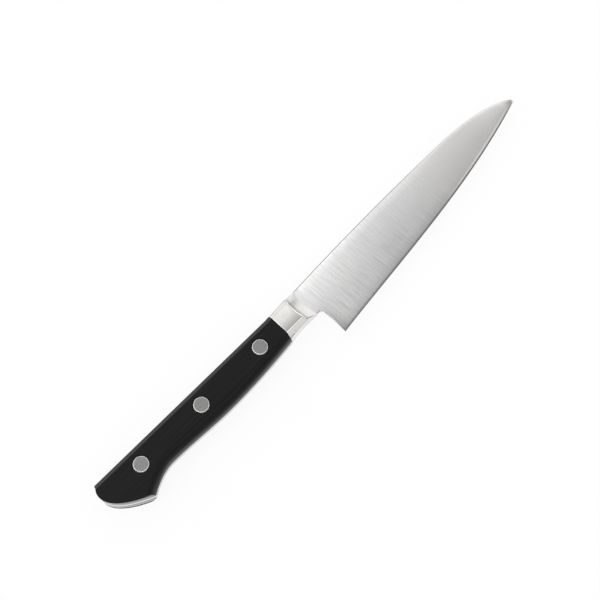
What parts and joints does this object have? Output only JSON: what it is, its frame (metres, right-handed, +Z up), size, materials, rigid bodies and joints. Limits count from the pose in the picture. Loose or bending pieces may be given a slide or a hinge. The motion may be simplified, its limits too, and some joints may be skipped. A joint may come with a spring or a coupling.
{
  "type": "petty knife",
  "caption": "Small kitchen knife with a slim pointed blade, welded steel bolster, full tang and flat-sided black wood scales held by flush rivets.",
  "frame": {"origin": "centre of the knife's box on the surface that it lies on", "axes": "+X from the butt to the tip, +Y from the edge to the spine, +Z up out of the right face of the knife, which lies on its left side"},
  "size_m": [0.2302, 0.0274, 0.0122],
  "materials": {
    "blade_steel": "satin, fine grinding lines across the blade",
    "bolster_steel": "polished",
    "black_wood": "resin-laminated, satin",
    "rivet_steel": "ground flush, satin"
  },
  "bodies": {
    "root": {"blade": "blade_steel", "right_bolster": "bolster_steel", "left_bolster": "bolster_steel", "right_scale": "black_wood", "left_scale": "black_wood", "front_rivet_pin": "rivet_steel", "front_rivet_tube": "rivet_steel", "middle_rivet_pin": "rivet_steel", "middle_rivet_tube": "rivet_steel", "rear_rivet_pin": "rivet_steel", "rear_rivet_tube": "rivet_steel"}
  },
  "joints": []
}
